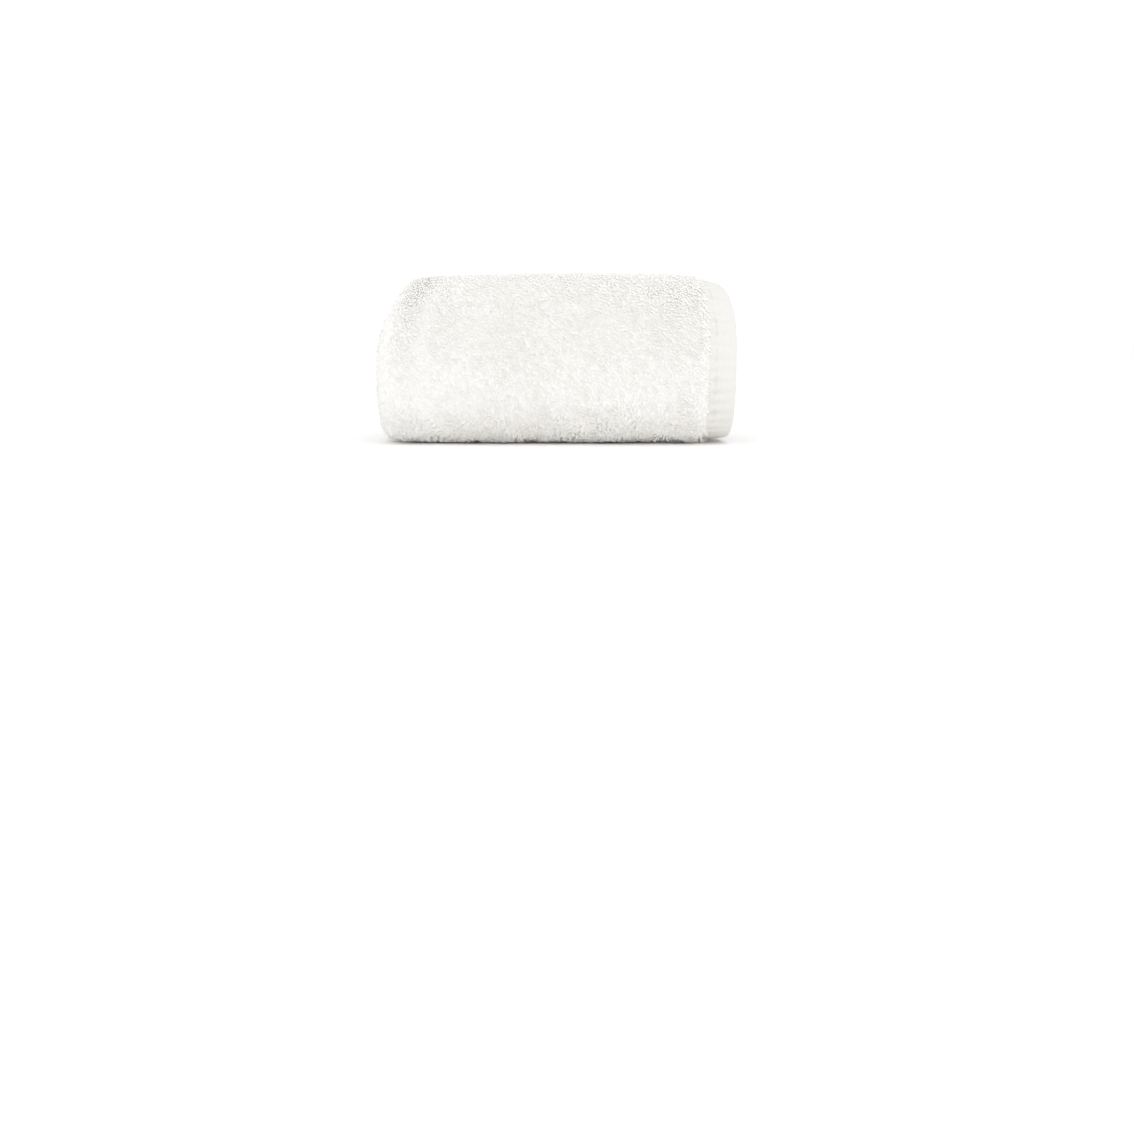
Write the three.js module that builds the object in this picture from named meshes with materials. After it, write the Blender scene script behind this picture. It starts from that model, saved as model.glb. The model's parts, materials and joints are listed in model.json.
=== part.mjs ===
// A guest towel of thick white terry cloth. It is folded once along its length, so that its two long
// hems lie together, and then rolled up from one short end. The roll rests on the flat of its outer
// turn, and its loose end lies on the surface under the back of the roll.
//
// X runs along the roll: the fold is at -X and the two long hems are at +X. The face of the roll that
// is looked at is at -Y, and Z is up. The origin is the middle of the footprint, on the surface.

import * as THREE from "three";

// Driving dimensions, in millimetres.
const CLOTH_LENGTH = 500;
const ROLL_WIDTH = 150; // half of the 300 mm that the cloth is cut wide
const CLOTH_THICKNESS = 5.5; // the woven ground and the loops on both faces
const LAYER_GAP = 0.5; // between two layers that lie on each other
const HEM_WIDTH = 10;
const HEM_THICKNESS = 3.2;
const STRAIGHT = 34; // how much of each half turn lies flat, above and below the core
const BENDS = 5; // half turns between the core and the loose end

// How the roll has settled.
const SLUMP = { front: 0.42, back: 0.24, power: 4 }; // how much wider the foot is than the crown
const TAPER = { from: 48, length: 26, left: 0.14, right: 0.055, towards: 14 };
const LUMP = { high: 0.5, deep: 0.7, alongX: 19, alongY: 23, alongZ: 17 };
const SLIP = { most: 1.4, every: 175 }; // each turn stands out a little further, or less far, than the last
const HEM_CURL = 1.3; // how far the upper hem is pressed down towards the lower one
const CURL_WIDTH = 15;

// How far the ends of the outer turn stand back from the full width, on each side of the roll.
const STAND_BACK = {
  top: { left: 9.5, right: 4.5 },
  front: { left: -1, right: 1.5 },
  foot: { left: 2, right: 1 },
  back: { left: 5, right: 2 },
};

// Across the cloth, from a hem's rim inwards: half of the thickness at each distance.
const HEM_PROFILE = [
  { inwards: 0, half: HEM_THICKNESS * 0.3 },
  { inwards: 1, half: HEM_THICKNESS / 2 },
  { inwards: HEM_WIDTH, half: HEM_THICKNESS / 2 },
  { inwards: HEM_WIDTH + 1.5, half: CLOTH_THICKNESS / 2 },
];

// Where the surface has its points, as distances from the rim of the long hem.
const PILE_STATIONS = [22, 40, 75, 110, 128, 138];
const FOLD_STEPS = 6;
const STRAIGHT_STEP = 12;
const BEND_STEP = 7; // along the arc
const MOST_BEND_ANGLE = Math.PI / 6;
const CLOSEST_ROWS = 1;

// Sizes that follow from these.
const TURN = 2 * (CLOTH_THICKNESS + LAYER_GAP); // one turn is the doubled cloth
const LAYER_MIDDLE = (CLOTH_THICKNESS + LAYER_GAP) / 2; // from the doubled cloth's middle to each layer's
const FOLD_REACH = LAYER_MIDDLE + CLOTH_THICKNESS / 2;
const LOWEST_LAYER = ((2 * BENDS + 1) * TURN) / 4;
const CORE_HEIGHT = LOWEST_LAYER + FOLD_REACH;
const ROLL_HEIGHT = (BENDS + 1) * TURN - LAYER_GAP;

// The line that the middle of the doubled cloth follows, seen from the end: half circles about two
// centres, with flats between them. Its first number is the place along Y, and its second is the
// height above the core.
function windingLine() {
  const line = new THREE.Path();
  line.moveTo(STRAIGHT / 2, TURN / 4);
  line.lineTo(-STRAIGHT / 2, TURN / 4);
  for (let bend = 1; bend <= BENDS; bend++) {
    const side = bend % 2 === 1 ? -1 : 1; // the first bend is at the front
    const start = (-side * Math.PI) / 2;
    line.absarc((side * STRAIGHT) / 2, (side * TURN) / 4, (bend * TURN) / 2, start, start + Math.PI);
  }
  const flat = CLOTH_LENGTH - line.getLength();
  line.lineTo(-STRAIGHT / 2 + flat, -LOWEST_LAYER);
  return line;
}

// The distances along the cloth at which it has a row of points: closer on the bends, and where the
// end hems begin and stop.
function rowPlaces(line) {
  const places = HEM_PROFILE.flatMap(({ inwards }) => [inwards, CLOTH_LENGTH - inwards]);
  let begins = 0;
  for (const curve of line.curves) {
    const length = curve.getLength();
    const straight = curve.type === "LineCurve";
    const fewest = straight ? 1 : Math.PI / MOST_BEND_ANGLE;
    const steps = Math.ceil(Math.max(length / (straight ? STRAIGHT_STEP : BEND_STEP), fewest));
    for (let i = 0; i <= steps; i++) {
      const place = begins + (length * i) / steps;
      if (places.every((other) => Math.abs(other - place) > CLOSEST_ROWS)) places.push(place);
    }
    begins += length;
  }
  return places.sort((a, b) => a - b);
}

// Where the doubled cloth's middle is after so much of its length, and which way is outwards there.
function placeOnLine(line, run) {
  const at = line.getPoint(run / CLOTH_LENGTH);
  const along = line.getTangent(run / CLOTH_LENGTH);
  return { y: at.x, z: at.y, outY: along.y, outZ: -along.x };
}

// Half of the cloth's thickness, so far in from a rim.
function halfThickness(fromRim) {
  const next = HEM_PROFILE.findIndex(({ inwards }) => inwards > fromRim);
  if (next < 0) return CLOTH_THICKNESS / 2;
  const [a, b] = [HEM_PROFILE[next - 1], HEM_PROFILE[next]];
  return a.half + ((b.half - a.half) * (fromRim - a.inwards)) / (b.inwards - a.inwards);
}

// How far the ends stand back where the cloth faces this way.
function standBack(end, outY, outZ) {
  return (
    STAND_BACK.top[end] * Math.max(outZ, 0) ** 3 +
    STAND_BACK.foot[end] * Math.min(outZ, 0) ** 2 +
    STAND_BACK.back[end] * Math.max(outY, 0) ** 2 +
    STAND_BACK.front[end] * Math.min(outY, 0) ** 2
  );
}

// The middle of the cloth's own thickness, from the rim of its outer long hem, round the fold, to the
// rim of its inner long hem. x is along the roll, out is from the doubled cloth's middle, and faceX
// and faceOut are the cloth's own outward direction.
function acrossCloth(rightEnd, leftEnd, curl) {
  const foldAt = leftEnd + FOLD_REACH;
  const flat = rightEnd - foldAt;
  const nominal = ROLL_WIDTH - FOLD_REACH;
  const hem = HEM_PROFILE.map(({ inwards }) => inwards);
  const lastHem = hem[hem.length - 1];
  const stretch = (flat - lastHem) / (nominal - lastHem);
  const pile = [...PILE_STATIONS, nominal].map((d) => lastHem + (d - lastHem) * stretch);
  const layer = (side) =>
    [...hem, ...pile].map((fromRim) => {
      const pressed = side > 0 ? curl * Math.max(0, 1 - fromRim / CURL_WIDTH) ** 2 : 0;
      const out = side * LAYER_MIDDLE - pressed;
      return { x: rightEnd - fromRim, out, faceX: 0, faceOut: side, fromRim };
    });
  const fold = [];
  for (let i = 1; i < FOLD_STEPS; i++) {
    const angle = Math.PI / 2 + (Math.PI * i) / FOLD_STEPS;
    const [faceX, faceOut] = [Math.cos(angle), Math.sin(angle)];
    fold.push({
      x: foldAt + LAYER_MIDDLE * faceX,
      out: LAYER_MIDDLE * faceOut,
      faceX,
      faceOut,
      fromRim: flat,
    });
  }
  return [...layer(1), ...fold, ...layer(-1).reverse()];
}

// The same point once the roll has settled: wider at the foot, drawn in at its ends and a little
// lumpy. The flat under the roll stays where it is.
function settled(x, y, z) {
  const high = z / ROLL_HEIGHT;
  const slump = y < 0 ? SLUMP.front : SLUMP.back;
  const wide = y * (1 + slump * (1 - high) ** SLUMP.power);
  const past = Math.min(Math.max((Math.abs(x) - TAPER.from) / TAPER.length, 0), 1.2);
  const drawn = (x < 0 ? TAPER.left : TAPER.right) * past ** 2;
  const lumpZ = LUMP.high * Math.sin(x / LUMP.alongX + 1) * Math.cos(y / LUMP.alongY);
  const lumpY = LUMP.deep * Math.sin(x / LUMP.alongX - 1) * Math.sin(z / LUMP.alongZ);
  return [
    x,
    wide * (1 - drawn / 2) + lumpY * high,
    TAPER.towards + (z - TAPER.towards) * (1 - drawn) + lumpZ * high,
  ];
}

// The whole cloth as one closed skin: its outward face, its inward face and the rims between them.
function rolledCloth() {
  const line = windingLine();
  const rows = rowPlaces(line);
  const faces = { outward: [], inward: [] };
  for (const run of rows) {
    const { y, z, outY, outZ } = placeOnLine(line, run);
    const slip = SLIP.most * Math.sin((2 * Math.PI * run) / SLIP.every);
    const rightEnd = ROLL_WIDTH / 2 - standBack("right", outY, outZ) + slip;
    const leftEnd = -ROLL_WIDTH / 2 + standBack("left", outY, outZ) + slip;
    const fromEnd = Math.min(run, CLOTH_LENGTH - run);
    const sag = run > CLOTH_LENGTH / 2 ? CLOTH_THICKNESS / 2 - halfThickness(fromEnd) : 0;
    const curl = (HEM_CURL * (1 + outZ)) / 2; // a hem lies flat where it is on the surface
    for (const [name, side] of [["outward", 1], ["inward", -1]]) {
      for (const at of acrossCloth(rightEnd, leftEnd, curl)) {
        const half = side * halfThickness(Math.min(at.fromRim, fromEnd));
        const out = at.out + half * at.faceOut + sag * (2 - at.faceOut);
        faces[name].push(
          ...settled(at.x + half * at.faceX, y + out * outY, CORE_HEIGHT + z + out * outZ),
        );
      }
    }
  }
  const across = faces.outward.length / 3 / rows.length;
  const layerPoints = rows.length * across;
  const outward = (row, i) => row * across + i;
  const inward = (row, i) => layerPoints + outward(row, i);
  const triangles = [];
  const quad = (a, b, c, d) => triangles.push(a, b, c, a, c, d);
  for (let row = 0; row + 1 < rows.length; row++) {
    for (let i = 0; i + 1 < across; i++) {
      quad(outward(row, i), outward(row, i + 1), outward(row + 1, i + 1), outward(row + 1, i));
      quad(inward(row, i), inward(row + 1, i), inward(row + 1, i + 1), inward(row, i + 1));
    }
    quad(outward(row, 0), outward(row + 1, 0), inward(row + 1, 0), inward(row, 0));
    const far = across - 1;
    quad(outward(row, far), inward(row, far), inward(row + 1, far), outward(row + 1, far));
  }
  const end = rows.length - 1;
  for (let i = 0; i + 1 < across; i++) {
    quad(outward(0, i), inward(0, i), inward(0, i + 1), outward(0, i + 1));
    quad(outward(end, i), outward(end, i + 1), inward(end, i + 1), inward(end, i));
  }
  const geometry = new THREE.BufferGeometry();
  geometry.setAttribute(
    "position",
    new THREE.Float32BufferAttribute([...faces.outward, ...faces.inward], 3),
  );
  geometry.setIndex(triangles);
  geometry.computeBoundingBox();
  const middle = geometry.boundingBox.getCenter(new THREE.Vector3());
  geometry.translate(-middle.x, -middle.y, -geometry.boundingBox.min.z);
  geometry.computeVertexNormals();
  return geometry;
}

function terryCotton() {
  return new THREE.MeshStandardMaterial({ color: 0xf4f2ec, roughness: 0.95, metalness: 0 });
}

const towel = new THREE.Group();
const roll = new THREE.Mesh(rolledCloth(), terryCotton());
roll.name = "rolled_towel";
towel.add(roll);

export default towel;
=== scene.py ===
# %% [markdown]
# # A rolled guest towel
#
# The real thing is one piece of thick cotton terry, 300 by 500 mm. It is folded once along its length
# and rolled up from a short end. Its faces are a pile of small cotton loops, and its edges are hems,
# woven flat, turned in and sewn. This lesson dresses a plain solid of that roll. The solid gives the
# place and the outer size, so every part made here has to lie where it lies.

# %% Load the solid
import json
import math
import bpy
import numpy as np
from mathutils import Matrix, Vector

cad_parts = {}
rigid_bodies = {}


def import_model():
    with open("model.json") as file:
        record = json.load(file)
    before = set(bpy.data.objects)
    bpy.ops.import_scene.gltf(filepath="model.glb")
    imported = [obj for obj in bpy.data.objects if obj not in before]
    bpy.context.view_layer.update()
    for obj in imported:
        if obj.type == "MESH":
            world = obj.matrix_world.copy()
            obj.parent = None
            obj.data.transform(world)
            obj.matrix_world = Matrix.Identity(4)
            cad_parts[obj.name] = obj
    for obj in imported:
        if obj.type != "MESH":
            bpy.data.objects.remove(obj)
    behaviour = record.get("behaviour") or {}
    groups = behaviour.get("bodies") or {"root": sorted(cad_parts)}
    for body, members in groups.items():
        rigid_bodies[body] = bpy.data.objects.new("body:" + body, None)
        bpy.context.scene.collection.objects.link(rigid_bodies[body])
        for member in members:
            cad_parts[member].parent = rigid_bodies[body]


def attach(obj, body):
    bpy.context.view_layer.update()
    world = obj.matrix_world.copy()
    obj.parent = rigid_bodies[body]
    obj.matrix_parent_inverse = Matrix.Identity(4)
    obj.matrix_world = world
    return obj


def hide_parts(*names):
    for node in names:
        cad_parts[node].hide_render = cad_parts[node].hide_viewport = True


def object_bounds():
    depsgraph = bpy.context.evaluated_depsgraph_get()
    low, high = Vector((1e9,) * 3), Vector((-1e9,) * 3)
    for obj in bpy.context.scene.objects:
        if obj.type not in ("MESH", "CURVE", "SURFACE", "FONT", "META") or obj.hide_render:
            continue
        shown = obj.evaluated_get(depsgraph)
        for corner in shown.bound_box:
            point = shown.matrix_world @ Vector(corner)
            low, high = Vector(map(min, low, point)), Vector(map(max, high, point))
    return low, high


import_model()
solid_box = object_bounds()
print("the solid measures", [round(1000 * (b - a), 1) for a, b in zip(*solid_box)], "mm")

# %% [markdown]
# ## Helpers
#
# Colours are written as the sRGB hex values that a colour picker gives, and Blender works in linear
# light, so one function turns them. The next finds a node's socket by its name. The last adds a node,
# sets it and links it, in a material or in a Geometry Nodes tree.

# %% Colours and nodes
def linear(colour):
    """The linear RGBA of an sRGB hex colour."""
    parts = [int(colour[i : i + 2], 16) / 255 for i in (1, 3, 5)]
    return [c / 12.92 if c <= 0.04045 else ((c + 0.055) / 1.055) ** 2.4 for c in parts] + [1.0]


def socket(sockets, name):
    """The socket in use with this name, because some nodes keep several of one name."""
    return next(s for s in sockets if s.enabled and s.name == name)


def add(tree, kind, inputs=None, **settings):
    """A new node. Each input is a value, or the output that feeds it."""
    node = tree.nodes.new(kind)
    for name, value in settings.items():
        setattr(node, name, value)
    for name, value in (inputs or {}).items():
        into = node.inputs[name] if isinstance(name, int) else socket(node.inputs, name)
        if isinstance(value, bpy.types.NodeSocket):
            tree.links.new(value, into)
        else:
            into.default_value = value
    return node


# %% [markdown]
# ## The camera
#
# The towel was seen from close by, with a lens of about 50 mm. The camera is lower than the top of
# the roll, so only its front face shows, and it looks down a little, so the towel is high in the
# picture.

# %% Set up the camera
camera = bpy.data.objects.new("camera", bpy.data.cameras.new("camera"))
bpy.context.scene.collection.objects.link(camera)
camera.data.lens = 50.2
camera.location = (0.005, -0.701, 0.0475)
camera.rotation_euler = (math.radians(90 - 8.53), 0, 0)
bpy.context.scene.camera = camera
print("the camera is", round(-1000 * camera.location.y), "mm from the middle of the towel")

# %% [markdown]
# ## How the cloth is wound
#
# Seen from its end, the roll is a flattened spiral: half circles about two centres, with flats
# between them. The doubled cloth follows it. The same rule made the solid, so it is repeated here, in
# millimetres, and it gives the place of any point of the cloth: how far along it the point is, how
# far across it, and how high above its middle.

# %% Sizes of the cloth and the winding, in millimetres
LENGTH, WIDTH, THICKNESS, GAP = 500.0, 150.0, 5.5, 0.5
HEM_WIDTH, HEM_THICKNESS, HEM_CURL, CURL_WIDTH = 10.0, 3.2, 1.3, 15.0
STRAIGHT, BENDS = 34.0, 5
TURN = 2 * (THICKNESS + GAP)
MIDDLE = (THICKNESS + GAP) / 2  # from the doubled cloth's middle to each layer's
REACH = MIDDLE + THICKNESS / 2  # and to each layer's outer face
CORE_HEIGHT = (2 * BENDS + 1) * TURN / 4 + REACH
ROLL_HEIGHT = (BENDS + 1) * TURN - GAP
PILE_FROM = HEM_WIDTH + 1.5  # how far in from a rim the pile has its full height
FOLD_FROM = WIDTH - REACH  # across the cloth, from the outer hem
FOLD_TO = FOLD_FROM + math.pi * MIDDLE
ACROSS = FOLD_FROM + FOLD_TO

# %% The line of the winding
def stretches():
    """Each stretch of the winding: its length, its middle or start, its radius and its direction."""
    found = [(STRAIGHT, (STRAIGHT / 2, TURN / 4), 0, -1)]
    for bend in range(1, BENDS + 1):
        side, radius = (-1 if bend % 2 else 1), bend * TURN / 2
        found.append((math.pi * radius, (side * STRAIGHT / 2, side * TURN / 4), radius, side))
        found.append((STRAIGHT, (side * STRAIGHT / 2, side * (TURN / 4 + radius)), 0, -side))
    used = sum(s[0] for s in found[:-1])
    found[-1] = (LENGTH - used, *found[-1][1:])
    return found


STRETCHES = stretches()
BEGINS = np.cumsum([0] + [s[0] for s in STRETCHES])
BACK, TOP, FRONT, FLAP = BEGINS[-5:-1]  # where the parts of the outer turn begin


def winding(run):
    """After so much of the cloth: the place along Y, the height, and the outward direction."""
    y, z, out_y, out_z = (np.zeros_like(run) for _ in range(4))
    for begins, (length, at, radius, way) in zip(BEGINS, STRETCHES):
        here = run >= begins - 1e-9
        gone = run - begins
        if radius:
            angle = -way * math.pi / 2 + gone / radius
            facing = (np.cos(angle), np.sin(angle))
            new = (at[0] + radius * facing[0], at[1] + radius * facing[1], *facing)
        else:
            new = (at[0] + way * gone, at[1] + 0 * gone, 0 * gone, -way + 0 * gone)
        for old, value in zip((y, z, out_y, out_z), new):
            old[here] = value[here]
    return y, z, out_y, out_z


print("the outer turn begins", round(BACK), "mm along the cloth, and the loose end", round(FLAP), "mm")

# %% How the ends and the section have settled
STAND_BACK = {
    "left": {"top": 9.5, "front": -1, "foot": 2, "back": 5},
    "right": {"top": 4.5, "front": 1.5, "foot": 1, "back": 2},
}
SLUMP = {"front": 0.42, "back": 0.24, "power": 4}  # how much wider the foot is than the crown
TAPER = {"from": 48, "length": 26, "left": 0.14, "right": 0.055, "towards": 14}
LUMP = {"high": 0.5, "deep": 0.7, "along_x": 19, "along_y": 23, "along_z": 17}
SLIP = {"most": 1.4, "every": 175}  # each turn stands out a little further, or less far, than the last


def stand_back(end, out_y, out_z):
    """How far an end of the roll stands back where the cloth faces this way."""
    by = STAND_BACK[end]
    return (
        by["top"] * np.maximum(out_z, 0) ** 3
        + by["foot"] * np.minimum(out_z, 0) ** 2
        + by["back"] * np.maximum(out_y, 0) ** 2
        + by["front"] * np.minimum(out_y, 0) ** 2
    )


def settled(x, y, z):
    """The point once the roll has settled: wider at the foot, drawn in at its ends, a little lumpy."""
    high = z / ROLL_HEIGHT
    slump = np.where(y < 0, SLUMP["front"], SLUMP["back"])
    wide = y * (1 + slump * (1 - high) ** SLUMP["power"])
    past = np.clip((np.abs(x) - TAPER["from"]) / TAPER["length"], 0, 1.2)
    drawn = np.where(x < 0, TAPER["left"], TAPER["right"]) * past**2
    lump_z = LUMP["high"] * np.sin(x / LUMP["along_x"] + 1) * np.cos(y / LUMP["along_y"])
    lump_y = LUMP["deep"] * np.sin(x / LUMP["along_x"] - 1) * np.sin(z / LUMP["along_z"])
    return (
        x,
        wide * (1 - drawn / 2) + lump_y * high,
        TAPER["towards"] + (z - TAPER["towards"]) * (1 - drawn) + lump_z * high,
    )


# %% The place of any point of the cloth
def thickness_at(inwards, full=THICKNESS):
    """Half of the thickness, so far in from a rim: the hems are thinner than the pile."""
    rim, hem = HEM_THICKNESS * 0.3, HEM_THICKNESS / 2
    return np.interp(inwards, [0, 1, HEM_WIDTH, PILE_FROM], [rim, hem, hem, full / 2])


def place(run, across, above):
    """Points of the cloth, in millimetres.

    Across goes from the outer hem, round the fold, to the inner hem.
    """
    run, across, above = (a.astype(float) for a in np.broadcast_arrays(run, across, above))
    y, z, out_y, out_z = winding(run)
    slip = SLIP["most"] * np.sin(2 * math.pi * run / SLIP["every"])
    right = WIDTH / 2 - stand_back("right", out_y, out_z) + slip
    left = -WIDTH / 2 + stand_back("left", out_y, out_z) + slip
    stretch = (right - left - REACH - PILE_FROM) / (FOLD_FROM - PILE_FROM)
    inwards = np.minimum(np.minimum(across, ACROSS - across), FOLD_FROM)
    inwards = np.where(inwards > PILE_FROM, PILE_FROM + (inwards - PILE_FROM) * stretch, inwards)
    turned = np.clip((across - FOLD_FROM) / MIDDLE, 0, math.pi)
    face_x, face_out = -np.sin(turned), np.cos(turned)
    from_end = np.minimum(run, LENGTH - run)
    sag = np.where(run > LENGTH / 2, THICKNESS / 2 - thickness_at(from_end), 0)
    curl = HEM_CURL * (1 + out_z) / 2 * np.maximum(0, 1 - inwards / CURL_WIDTH) ** 2
    curl *= across < FOLD_FROM
    x = right - inwards + (MIDDLE + above) * face_x
    out = (MIDDLE + above) * face_out - curl + sag * (2 - face_out)
    return np.stack(settled(x, y + out * out_y, CORE_HEIGHT + z + out * out_z), axis=-1)


skin = place(np.arange(0, LENGTH + 1.0)[:, None], np.linspace(0, ACROSS, 150)[None, :], THICKNESS / 2)
solid_middle = 500 * (np.array(solid_box[0]) + np.array(solid_box[1]))  # metres into millimetres
RECENTRE = solid_middle - (skin.min(axis=(0, 1)) + skin.max(axis=(0, 1))) / 2
RECENTRE[2] = 0
print("the winding is moved by", RECENTRE.round(2), "mm to lie in the solid")


# %% [markdown]
# ## The woven cloth
#
# Under the loops there is a plain woven ground, and along every edge it is turned in twice and sewn
# down, which makes a flat, smooth band. The stitches pull that band into small puckers. The mesh is a
# grid over the whole cloth, bent by the rule above, and its rows are close enough for the puckers.

# %% Weave the ground and the hems
GROUND = 3.3  # the thickness of the woven ground with the feet of the loops
SEAM = 8.2  # how far in from the rim the stitches lie
PUCKER = {"every": 4.4, "depth": 0.7, "width": 5.5, "stray": 1.1}
END, ROW_STEP = 12, 0.9  # rows 1 mm apart near the ends, and so far apart between them


def wander(seed, apart, *at):
    """A smooth random value between about -1 and 1 that changes over this distance."""
    rng = np.random.default_rng(seed)
    total = 0
    for _ in range(7):
        way = rng.normal(size=len(at))
        way *= 2 * math.pi / apart / np.linalg.norm(way) * rng.uniform(0.6, 1.3)
        total = total + np.sin(sum(w * a for w, a in zip(way, at)) + rng.uniform(0, 6.3))
    return total / 3


def puckered(run, across):
    """How much thinner a hem is here than without its puckers."""
    inwards = np.minimum(across, ACROSS - across)
    phase = 2 * math.pi * run / PUCKER["every"] + PUCKER["stray"] * wander(6, 30, run)
    band = np.exp(-(((inwards - SEAM) / PUCKER["width"]) ** 2)) * (inwards < PILE_FROM)
    return PUCKER["depth"] * band * (0.5 + 0.5 * np.cos(phase)) ** 3


def cloth_mesh():
    """The ground and its hems as one closed skin, with its own length and width as UV in metres."""
    first, last = np.arange(0, END, 1.0), np.arange(LENGTH - END, LENGTH + 0.5, 1.0)
    rows = np.concatenate([first, np.arange(END, LENGTH - END, ROW_STEP), last])
    hem = [0, 0.4, 1.2, 2.6, 4.2, 5.6, 7, SEAM, 9.2, HEM_WIDTH, PILE_FROM]
    ground = [20, 40, 75, 110, 130]
    fold = list(np.linspace(FOLD_FROM, FOLD_TO, 7))
    columns = np.array(hem + ground + fold + [ACROSS - a for a in reversed(hem + ground)])
    run, across = np.meshgrid(rows, columns, indexing="ij")
    inwards = np.minimum(np.minimum(across, ACROSS - across), np.minimum(run, LENGTH - run))
    half = thickness_at(inwards, GROUND)
    faces = []
    for side in (1, -1):
        faces.append(place(run, across, side * (half - puckered(run, across))))
    points = np.concatenate([f.reshape(-1, 3) for f in faces]) + RECENTRE
    many, wide = len(rows), len(columns)
    grid = np.arange(many * wide).reshape(many, wide)
    a, b, c, d = (g.ravel() for g in (grid[:-1, :-1], grid[:-1, 1:], grid[1:, 1:], grid[1:, :-1]))
    outer = np.stack([a, b, c, d], axis=1)
    quads = [outer, outer[:, ::-1] + many * wide]
    rim = np.concatenate([grid[:, 0], grid[-1, 1:], grid[::-1, -1][1:], grid[0, ::-1][1:]])
    over = rim + many * wide
    quads.append(np.stack([rim[:-1], rim[1:], over[1:], over[:-1]], axis=1))
    mesh = bpy.data.meshes.new("towel_cloth")
    mesh.from_pydata((points / 1000).tolist(), [], np.concatenate(quads).tolist())
    uv = np.stack([run.ravel(), across.ravel()], axis=1) / 1000
    corners = np.empty(len(mesh.loops), dtype=np.int32)
    mesh.loops.foreach_get("vertex_index", corners)
    layer = mesh.uv_layers.new(name="cloth")
    layer.data.foreach_set("uv", uv[corners % (many * wide)].ravel())
    hemmed = (inwards[:-1, :-1] < PILE_FROM - 1).ravel()
    kinds = np.concatenate([~hemmed, ~hemmed, np.zeros(len(rim) - 1, dtype=bool)])
    mesh.polygons.foreach_set("material_index", kinds.astype(np.int32))
    mesh.shade_smooth()
    return mesh


towel_cloth = bpy.data.objects.new("towel_cloth", cloth_mesh())
bpy.context.scene.collection.objects.link(towel_cloth)
print("the cloth has", len(towel_cloth.data.polygons) * 2, "triangles")

# %% [markdown]
# ## One loop of the pile
#
# A loop is a soft yarn, not quite half a millimetre thick. It leaves the ground, stands up about a
# millimetre and a half, leans over and comes back. Washed terry has no two alike, so a few shapes are
# made. Each has only 20 triangles, because it is repeated thousands of times.

# %% Shape a few loops
YARN = 0.23  # the radius of the yarn, in millimetres


def yarn_mesh(name, centres, radius, sides=3):
    """A closed yarn along these points, in millimetres, with its length and its girth as UV."""
    centres = np.array(centres, dtype=float)
    along = np.gradient(centres, axis=0)
    along /= np.linalg.norm(along, axis=1)[:, None]
    aside = np.cross(along[0], [0.2, 0.1, 1]) + 1e-6
    points, uv, gone = [], [], 0
    for i, (centre, way) in enumerate(zip(centres, along)):
        aside = aside - way * (aside @ way)
        aside /= np.linalg.norm(aside)
        gone += np.linalg.norm(centre - centres[max(i - 1, 0)])
        for k in range(sides):
            angle = 2 * math.pi * k / sides
            spoke = aside * math.cos(angle) + np.cross(way, aside) * math.sin(angle)
            points.append(centre + radius * spoke)
            uv.append((gone / 1000, angle))
    faces = []
    for i in range(len(centres) - 1):
        for k in range(sides):
            a, b = i * sides + k, i * sides + (k + 1) % sides
            faces.append((a, b, b + sides, a + sides))
    faces.append(tuple(reversed(range(sides))))
    faces.append(tuple(range(len(points) - sides, len(points))))
    mesh = bpy.data.meshes.new(name)
    mesh.from_pydata((np.array(points) / 1000).tolist(), [], faces)
    layer = mesh.uv_layers.new(name="cloth")
    for loop in mesh.loops:
        layer.data[loop.index].uv = uv[loop.vertex_index]
    return mesh


def shelf(name, meshes):
    """A collection of shapes that is only drawn from, and is never in the picture."""
    kept = bpy.data.collections.new(name)
    for mesh in meshes:
        kept.objects.link(bpy.data.objects.new(mesh.name, mesh))
    return kept


# Each loop: how far it leans out, how high it stands, its half width, and how its tip is turned.
LOOPS = [
    {"out": 1.4, "high": 1.35, "half": 0.24, "turn": 0.12},
    {"out": 1.7, "high": 1.25, "half": 0.20, "turn": -0.22},
    {"out": 1.2, "high": 1.45, "half": 0.27, "turn": 0.25},
    {"out": 1.9, "high": 1.20, "half": 0.22, "turn": -0.08},
]


def loop_line(out, high, half, turn):
    """The four points of a loop: up one leg, over the tip and down the other."""
    return [
        (0.0, -0.15, -0.3),
        (0.75 * out, turn - half, high),
        (out, turn + half, 0.92 * high),
        (0.1 * out, 0.15, -0.3),
    ]


pile_shapes = shelf(
    "pile_shapes",
    [yarn_mesh(f"loop_{i}", loop_line(**loop), YARN) for i, loop in enumerate(LOOPS)],
)
first_loop = pile_shapes.objects[0].data
print("a loop has", sum(len(p.vertices) - 2 for p in first_loop.polygons), "triangles")

# %% [markdown]
# ## Planting with Geometry Nodes
#
# One tree plants shapes on points. Every point says which way is up from the cloth and which way to
# lean, and the tree turns a shape to match, picks one at random and varies its size. It ends by
# making the copies real and giving them their material, because copies alone wouldn't be exported.

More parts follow.
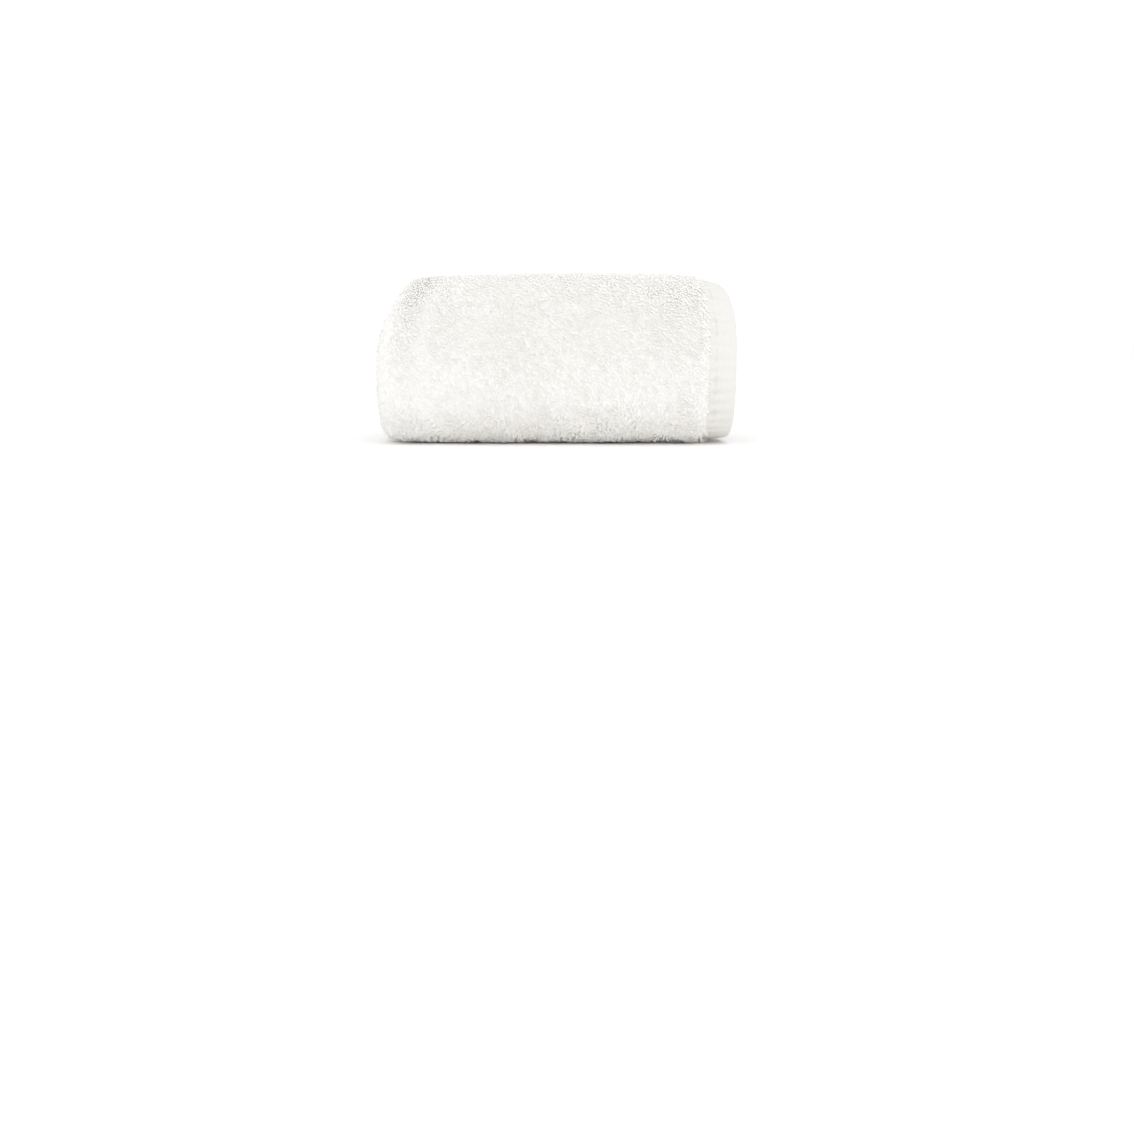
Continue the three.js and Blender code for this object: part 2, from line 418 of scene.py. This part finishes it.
# %% Build the planting tree
def planting_tree():
    """The tree, with its inputs named."""
    tree = bpy.data.node_groups.new("plant_shapes", "GeometryNodeTree")
    for name, kind in (
        ("Points", "NodeSocketGeometry"),
        ("Shapes", "NodeSocketCollection"),
        ("Smallest", "NodeSocketVector"),
        ("Largest", "NodeSocketVector"),
        ("Seed", "NodeSocketInt"),
        ("Material", "NodeSocketMaterial"),
    ):
        tree.interface.new_socket(name, in_out="INPUT", socket_type=kind)
    tree.interface.new_socket("Planted", in_out="OUTPUT", socket_type="NodeSocketGeometry")
    given = add(tree, "NodeGroupInput").outputs
    rise = add(tree, "GeometryNodeInputNamedAttribute", {"Name": "rise"}, data_type="FLOAT_VECTOR")
    lean = add(tree, "GeometryNodeInputNamedAttribute", {"Name": "lean"}, data_type="FLOAT_VECTOR")
    size = add(tree, "GeometryNodeInputNamedAttribute", {"Name": "size"}, data_type="FLOAT_VECTOR")
    turn = add(
        tree,
        "FunctionNodeAxesToRotation",
        {0: socket(rise.outputs, "Attribute"), 1: socket(lean.outputs, "Attribute")},
        primary_axis="Z",
        secondary_axis="X",
    )
    vary = add(
        tree,
        "FunctionNodeRandomValue",
        {"Min": given["Smallest"], "Max": given["Largest"], "Seed": given["Seed"]},
        data_type="FLOAT_VECTOR",
    )
    scale = add(
        tree,
        "ShaderNodeVectorMath",
        {0: socket(vary.outputs, "Value"), 1: socket(size.outputs, "Attribute")},
        operation="MULTIPLY",
    )
    shapes = add(
        tree,
        "GeometryNodeCollectionInfo",
        {"Collection": given["Shapes"], "Separate Children": True, "Reset Children": True},
    )
    pick = add(
        tree,
        "FunctionNodeRandomValue",
        {"Min": 0, "Max": 1000, "Seed": given["Seed"]},
        data_type="INT",
    )
    planted = add(
        tree,
        "GeometryNodeInstanceOnPoints",
        {
            "Points": given["Points"],
            "Instance": shapes.outputs["Instances"],
            "Pick Instance": True,
            "Instance Index": socket(pick.outputs, "Value"),
            "Rotation": turn.outputs[0],
            "Scale": scale.outputs["Vector"],
        },
    )
    shade = add(
        tree,
        "FunctionNodeRandomValue",
        {"Min": 0.0, "Max": 1.0, "Seed": given["Seed"]},
        data_type="FLOAT",
    )
    toned = add(
        tree,
        "GeometryNodeStoreNamedAttribute",
        {
            "Geometry": planted.outputs["Instances"],
            "Name": "shade",
            "Value": socket(shade.outputs, "Value"),
        },
        data_type="FLOAT",
        domain="INSTANCE",
    )
    real = add(tree, "GeometryNodeRealizeInstances", {"Geometry": toned.outputs["Geometry"]})
    done = add(
        tree,
        "GeometryNodeSetMaterial",
        {"Geometry": real.outputs["Geometry"], "Material": given["Material"]},
    )
    add(tree, "NodeGroupOutput", {"Planted": done.outputs["Geometry"]})
    return tree


planting = planting_tree()


# %% Plant on a set of points
def plant(name, points, rise, lean, size, shapes, smallest, largest, seed, material):
    """The shapes on these points, in millimetres, as one plain mesh."""
    mesh = bpy.data.meshes.new(name)
    mesh.from_pydata((points / 1000).tolist(), [], [])
    for attribute, values in (("rise", rise), ("lean", lean), ("size", size)):
        layer = mesh.attributes.new(attribute, "FLOAT_VECTOR", "POINT")
        layer.data.foreach_set("vector", np.asarray(values, dtype=float).ravel())
    carrier = bpy.data.objects.new(name + "_points", mesh)
    bpy.context.scene.collection.objects.link(carrier)
    modifier = carrier.modifiers.new("plant", "NODES")
    modifier.node_group = planting
    given = {
        "Shapes": shapes,
        "Smallest": smallest,
        "Largest": largest,
        "Seed": seed,
        "Material": material,
    }
    for item in planting.interface.items_tree:
        if item.in_out == "INPUT" and item.name in given:
            modifier[item.identifier] = given[item.name]
    depsgraph = bpy.context.evaluated_depsgraph_get()
    plain = bpy.data.meshes.new_from_object(carrier.evaluated_get(depsgraph))
    bpy.data.objects.remove(carrier)
    piece = bpy.data.objects.new(name, plain)
    plain.name = name
    # Facets this narrow are shaded flat. Rounded shading would lose light at every bounce between them.
    plain.shade_flat()
    bpy.context.scene.collection.objects.link(piece)
    press_on_floor(plain)
    triangles = sum(len(p.vertices) - 2 for p in plain.polygons)
    print(f"{name}: {len(points)} planted, {triangles} triangles")
    return piece


def press_on_floor(mesh):
    """The weight of the roll presses flat whatever would reach below the floor."""
    at = np.empty(len(mesh.vertices) * 3)
    mesh.vertices.foreach_get("co", at)
    at = at.reshape(-1, 3)
    low = at[:, 2] < 0.001
    at[low, 2] = 0.001 * np.exp(at[low, 2] / 0.001 - 1)
    mesh.vertices.foreach_set("co", at.ravel())
    mesh.update()


# %% [markdown]
# ## Four finishes
#
# Cotton has no shine of its own. Its fibres stand out as a fine fuzz, so it is rough, with a faint
# sheen at grazing angles. The same bleached cotton is seen in four ways: as twisted yarn in the loops,
# as fine flat weave in the hems, as the woven ground between the loops, and as thread in the seams.
# The loops and the ground are whiter here than the towel looks, because the shade among the loops
# brings them down to the same ivory as the hems.

# %% Looped cotton yarn
IVORY = "#E1DFDB"


def cotton(name):
    """A new material with a rough cotton shader."""
    made = bpy.data.materials.new(name)
    made.use_nodes = True
    tree = made.node_tree
    tree.nodes.clear()
    shader = add(
        tree,
        "ShaderNodeBsdfPrincipled",
        {
            "Base Color": linear(IVORY),
            "Roughness": 0.92,
            "IOR": 1.5,
            "Sheen Weight": 0.1,
            "Sheen Roughness": 0.6,
        },
    )
    add(tree, "ShaderNodeOutputMaterial", {"Surface": shader.outputs["BSDF"]})
    return made, tree, shader


def twist(tree, shader, every, strength):
    """The ridges of plies twisted together, so many metres apart along the yarn."""
    uv = add(tree, "ShaderNodeUVMap", uv_map="cloth")
    split = add(tree, "ShaderNodeSeparateXYZ", {"Vector": uv.outputs["UV"]})
    turns = {0: split.outputs["X"], 1: 2 * math.pi / every, 2: split.outputs["Y"]}
    ply = add(tree, "ShaderNodeMath", turns, operation="MULTIPLY_ADD")
    ridge = add(tree, "ShaderNodeMath", {0: ply.outputs["Value"]}, operation="SINE")
    height = {"Strength": strength, "Distance": 0.0001, "Height": ridge.outputs["Value"]}
    bump = add(tree, "ShaderNodeBump", height)
    tree.links.new(bump.outputs["Normal"], shader.inputs["Normal"])


terry_yarn, tree, shader = cotton("looped_cotton_yarn")
shade = add(tree, "ShaderNodeAttribute", attribute_name="shade")
tint = add(
    tree,
    "ShaderNodeMix",
    {"Factor": shade.outputs["Fac"], "A": linear("#EFEEEC"), "B": linear("#F9F8F7")},
    data_type="RGBA",
)
tree.links.new(socket(tint.outputs, "Result"), shader.inputs["Base Color"])
# Two plies twisted together: a ridge every 0.8 mm of the yarn, winding round it once.
twist(tree, shader, every=0.0008, strength=0.15)

# %% Flat woven cotton
flat_weave, tree, shader = cotton("flat_woven_cotton")
uv = add(tree, "ShaderNodeUVMap", uv_map="cloth")
split = add(tree, "ShaderNodeSeparateXYZ", {"Vector": uv.outputs["UV"]})
# Threads 0.6 mm apart along the hem, and fine ribs 1 mm apart across it, where the threads are
# pulled up against each other. The real threads are half as coarse, and wouldn't show.
threads = []
for axis, apart in (("X", 0.0006), ("Y", 0.001)):
    turns = {0: split.outputs[axis], 1: 2 * math.pi / apart}
    count = add(tree, "ShaderNodeMath", turns, operation="MULTIPLY")
    threads.append(add(tree, "ShaderNodeMath", {0: count.outputs["Value"]}, operation="SINE"))
weave = add(
    tree,
    "ShaderNodeMath",
    {0: threads[0].outputs["Value"], 1: 0.5, 2: threads[1].outputs["Value"]},
    operation="MULTIPLY_ADD",
)
bump = add(
    tree,
    "ShaderNodeBump",
    {"Strength": 0.35, "Distance": 0.0001, "Height": weave.outputs["Value"]},
)
tree.links.new(bump.outputs["Normal"], shader.inputs["Normal"])
towel_cloth.data.materials.append(flat_weave)

# %% Woven ground
ground_weave, tree, shader = cotton("woven_terry_ground")
shader.inputs["Base Color"].default_value = linear("#F1F0EE")
uv = add(tree, "ShaderNodeUVMap", uv_map="cloth")
# The feet of the loops swell the ground about every millimetre, in no strict order.
feet = add(
    tree,
    "ShaderNodeTexVoronoi",
    {"Vector": uv.outputs["UV"], "Scale": 1000.0, "Randomness": 0.7},
    voronoi_dimensions="2D",
    feature="SMOOTH_F1",
)
swell = add(
    tree,
    "ShaderNodeBump",
    {"Strength": 0.4, "Distance": 0.0003, "Height": feet.outputs["Distance"]},
    invert=True,
)
tree.links.new(swell.outputs["Normal"], shader.inputs["Normal"])
towel_cloth.data.materials.append(ground_weave)

# %% Sewing thread
seam_thread, tree, shader = cotton("spun_sewing_thread")
shader.inputs["Base Color"].default_value = linear("#E6E4E0")
shader.inputs["Roughness"].default_value = 0.6
# Thread is spun and plied more tightly than the yarn of the pile: a ridge every 0.5 mm.
twist(tree, shader, every=0.0005, strength=0.4)

# %% [markdown]
# ## Planting the pile
#
# Loops stand in rows, about as far apart as the threads that hold them. On the towel they are ruffled:
# neighbours lean much the same way, and they hang where the roll turns under. Only the loops that can
# be seen are made: the outer turn, the folded end, and what shows between the hems.

# %% Rows of points on the cloth
def spread(run_range, across_range, side, apart, seed):
    """Jittered rows over a stretch of one face: the run and the across of each point."""
    runs = np.arange(run_range[0], run_range[1] + 0.1, 0.25)
    acrosses = np.arange(across_range[0], across_range[1] + 0.05, 0.1)
    above = side * THICKNESS / 2

    def even(values, line, step):
        gone = np.concatenate([[0], np.cumsum(np.linalg.norm(np.diff(line, axis=0), axis=1))])
        many = max(int(gone[-1] / step), 1)
        return np.interp((np.arange(many) + 0.5) * gone[-1] / many, gone, values), many

    rows, many = even(runs, place(runs, sum(across_range) / 2, above), apart[0])
    columns, wide = even(acrosses, place(sum(run_range) / 2, acrosses, above), apart[1])
    rng = np.random.default_rng(seed)
    run, across = np.meshgrid(rows, columns, indexing="ij")
    row_step = (run_range[1] - run_range[0]) / many
    column_step = (across_range[1] - across_range[0]) / wide
    run = run + rng.uniform(-0.3, 0.3, run.shape) * row_step
    stagger = np.where(np.arange(many) % 2, 0.25, -0.25)[:, None]
    across = across + (rng.uniform(-0.3, 0.3, run.shape) + stagger) * column_step
    return run.ravel(), across.ravel()


def unit(vectors):
    """The same directions with a length of one."""
    return vectors / np.linalg.norm(vectors, axis=-1, keepdims=True)


def directions(run, across, side, above):
    """At each point: its place, and the directions up, along the cloth and to the outer hem."""
    at = place(run, across, side * above)
    up = side * (place(run, across, above + 0.1) - place(run, across, above - 0.1))
    along = place(run + 0.1, across, side * above) - place(run - 0.1, across, side * above)
    aside = place(run, across - 0.1, side * above) - place(run, across + 0.1, side * above)
    return at + RECENTRE, unit(up), unit(along), unit(aside)


# %% Plant one stretch of pile
ROOT = 1.4  # how far above the middle of the cloth a loop has its root, just inside the ground
LOW = 28  # below this height the loops lie longer and more ruffled
PATCHES = {"wave": 13, "fine": 5}  # the distances over which neighbours lean the same way
LOOSE = 0.35  # how far each loop strays from its neighbours
BY_HEM = 2.4  # loops so near a hem lean over it
LOOP_SCALES = ((0.85, 0.85, 0.9), (1.15, 1.2, 1.1))  # the smallest and the largest


def pile(name, run_range, across_range, side=1, apart=(1.5, 1.3), seed=1, hang=0.8, size=1.0):
    """The loops over a stretch of one face, so far apart along the cloth and across it."""
    run, across = spread(run_range, across_range, side, apart, seed)
    at, up, along, aside = directions(run, across, side, ROOT)
    rng = np.random.default_rng(seed + 100)
    down = np.array([0, 0, -1.0])
    fall = down - up * (up @ down)[:, None]
    fall -= 0.8 * aside * (fall * aside).sum(axis=1, keepdims=True)
    low = np.clip(1 - at[:, 2] / LOW, 0, 1)[:, None]
    wave = [wander(draw, PATCHES["wave"], *at.T)[:, None] for draw in (21, 22)]
    fine = [wander(draw, PATCHES["fine"], *at.T)[:, None] for draw in (23, 24)]
    loose = rng.normal(0, LOOSE, (2, len(at), 1)) * (1 - 0.4 * low)
    by_hem = np.clip(1 - (across - PILE_FROM) / BY_HEM, 0, 1)[:, None]
    by_end = np.clip(1 - (LENGTH - run - HEM_WIDTH) / BY_HEM, 0, 1)[:, None]
    over_hem = 0.9 * by_hem * aside + 1.2 * by_end * along
    ruffle = along * ((0.06 + 0.5 * low) * wave[0] + 0.12 * fine[0] + loose[0])
    ruffle += aside * ((0.06 + 1.5 * low) * wave[1] + 0.12 * fine[1] + loose[1])
    lean = unit(hang * (1 - 0.7 * low) * fall + 0.5 * (1 - low) * along + over_hem + ruffle)
    # The pile is pressed a little shorter on top, and towards the folded end.
    by_fold = np.clip(3 * across / FOLD_FROM - 2, 0, 1)
    pressed = 1 - 0.25 * np.clip(up[:, 2], 0, 1) - 0.36 * by_fold
    tall = size * pressed * rng.uniform(0.88, 1.06, len(at))
    long = size * (1 + 0.8 * low[:, 0] + 0.15 * by_hem[:, 0])
    sizes = np.stack([long, size * np.ones_like(long), tall], axis=1)
    return plant(name, at, up, lean, sizes, pile_shapes, *LOOP_SCALES, seed, terry_yarn)


# %% The outer turn, the fold and the loose end
OUTER = (PILE_FROM + 0.3, FOLD_FROM)
HALFWAY = (FRONT + FLAP) / 2
made = [
    pile("pile_top", (TOP, FRONT), OUTER, apart=(1.0, 0.95), seed=1),
    pile("pile_front_upper", (FRONT, HALFWAY), OUTER, apart=(0.92, 0.9), seed=2),
    pile("pile_front_lower", (HALFWAY, FLAP), OUTER, apart=(1.0, 0.95), seed=3, size=1.02),
    pile("pile_back", (BACK - 6, TOP), OUTER, apart=(1.2, 1.06), seed=4),
    pile("pile_under", (FLAP, LENGTH - PILE_FROM), OUTER, apart=(2.2, 1.9), seed=5, size=1.2),
    pile(
        "pile_fold",
        (PILE_FROM, LENGTH - PILE_FROM),
        (FOLD_FROM - 1.5, FOLD_TO + 2.5),
        apart=(1.2, 1.15),
        seed=6,
        hang=0.5,
    ),
    pile(
        "pile_flap",
        (LENGTH - 30, LENGTH - HEM_WIDTH),
        (FOLD_TO + 2, ACROSS - PILE_FROM),
        apart=(1.2, 1.2),
        seed=7,
        size=1.1,
    ),
]

# %% The pile between the hems
MOUTH = 13  # how far in from the rim the narrow band of loops lies that shows there
faces = ((MOUTH, 1), (MOUTH, -1), (ACROSS - MOUTH, 1), (ACROSS - MOUTH, -1))
for i, (across, side) in enumerate(faces, 1):
    stop = BACK if i == 1 else LENGTH - PILE_FROM  # the last turn's outer face has its own pile
    made.append(
        pile(
            f"pile_mouth_{i}",
            (PILE_FROM, stop),
            (across - 1.2, across + 1.2),
            side,
            apart=(1.6, 1.2),
            seed=9 + i,
            hang=0.2,
        )
    )

# %% [markdown]
# ## The seams
#
# One line of lockstitch holds each hem, close to its inner edge. A stitch is 2.7 mm of thread lying on
# the band, and it sinks in at both ends. The same tree plants them, one after another.

# %% Sew the hems
STITCH = [(-1.35, 0, -0.25), (-0.9, 0, 0.08), (0, 0, 0.14), (0.9, 0, 0.08), (1.35, 0, -0.25)]
THREAD = 0.17  # the radius of the thread
STITCH_SCALES = ((0.97,) * 3, (1.03,) * 3)
EVERY = 3.2  # from one stitch to the next
stitch_shape = shelf("stitch_shape", [yarn_mesh("stitch", STITCH, THREAD, sides=4)])


def seam(name, run, across, side, seed, lengthwise=True):
    """A line of stitches on a hem."""
    above = HEM_THICKNESS / 2 - 0.05
    at, up, along, aside = directions(run, across, side, above)
    at = at - up * puckered(run, across)[:, None]
    way = along if lengthwise else aside
    same = np.ones_like(at)
    return plant(name, at, up, way, same, stitch_shape, *STITCH_SCALES, seed, seam_thread)


steps = np.arange(6, LENGTH - 5, EVERY)
faces = ((SEAM, 1), (SEAM, -1), (ACROSS - SEAM, 1), (ACROSS - SEAM, -1))
for i, (across, side) in enumerate(faces):
    made.append(seam(f"hem_seam_{i + 1}", steps, np.full_like(steps, across), side, 30 + i))
steps = np.concatenate([np.arange(6, FOLD_FROM, EVERY), np.arange(FOLD_TO, ACROSS - 5, EVERY)])
for i, run in enumerate((SEAM, LENGTH - SEAM)):
    line = np.full_like(steps, run)
    made.append(seam(f"end_seam_{i + 1}", line, steps, 1, 40 + i, lengthwise=False))

# %% [markdown]
# ## Floor and light
#
# The towel lies on a plain white floor, in a white room: soft light from all sides, a little more of
# it from above and in front, so that the shade under the roll stays light.

# %% Floor
floor_mesh = bpy.data.meshes.new("floor")
floor_mesh.from_pydata([(-6, -6, 0), (6, -6, 0), (6, 6, 0), (-6, 6, 0)], [], [(0, 1, 2, 3)])
floor = bpy.data.objects.new("floor", floor_mesh)
bpy.context.scene.collection.objects.link(floor)
paper = bpy.data.materials.new("white_paper")
paper.use_nodes = True
finish = paper.node_tree.nodes["Principled BSDF"].inputs
finish["Base Color"].default_value = linear("#FCFCFC")
finish["Roughness"].default_value = 0.8
floor_mesh.materials.append(paper)

# %% Room and lamps
room = bpy.data.worlds.new("white_room")
room.use_nodes = True
glow = room.node_tree.nodes["Background"].inputs
glow["Color"].default_value = linear("#FFFFFF")
glow["Strength"].default_value = 1.05
bpy.context.scene.world = room
bpy.context.scene.view_settings.view_transform = "Standard"
# White cotton sends nearly all light on, so it has to be followed from loop to loop for longer.
cycles = bpy.context.scene.cycles
cycles.max_bounces = 32
cycles.diffuse_bounces = 32


def softbox(name, at, size, watts):
    """A square lamp, so many metres wide, that faces the towel."""
    lamp = bpy.data.lights.new(name, "AREA")
    lamp.size, lamp.energy = size, watts
    box = bpy.data.objects.new(name, lamp)
    box.location = at
    box.rotation_euler = (Vector((0, 0, 0.035)) - Vector(at)).to_track_quat("-Z", "Y").to_euler()
    bpy.context.scene.collection.objects.link(box)


softbox("key", (0.25, -0.8, 1.05), 1.0, 3.2)
softbox("fill", (0.3, -1.5, 0.1), 0.9, 1.5)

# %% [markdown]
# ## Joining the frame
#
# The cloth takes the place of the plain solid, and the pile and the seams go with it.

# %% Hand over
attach(towel_cloth, "root")
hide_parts("rolled_towel")
for piece in made:
    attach(piece, "root")
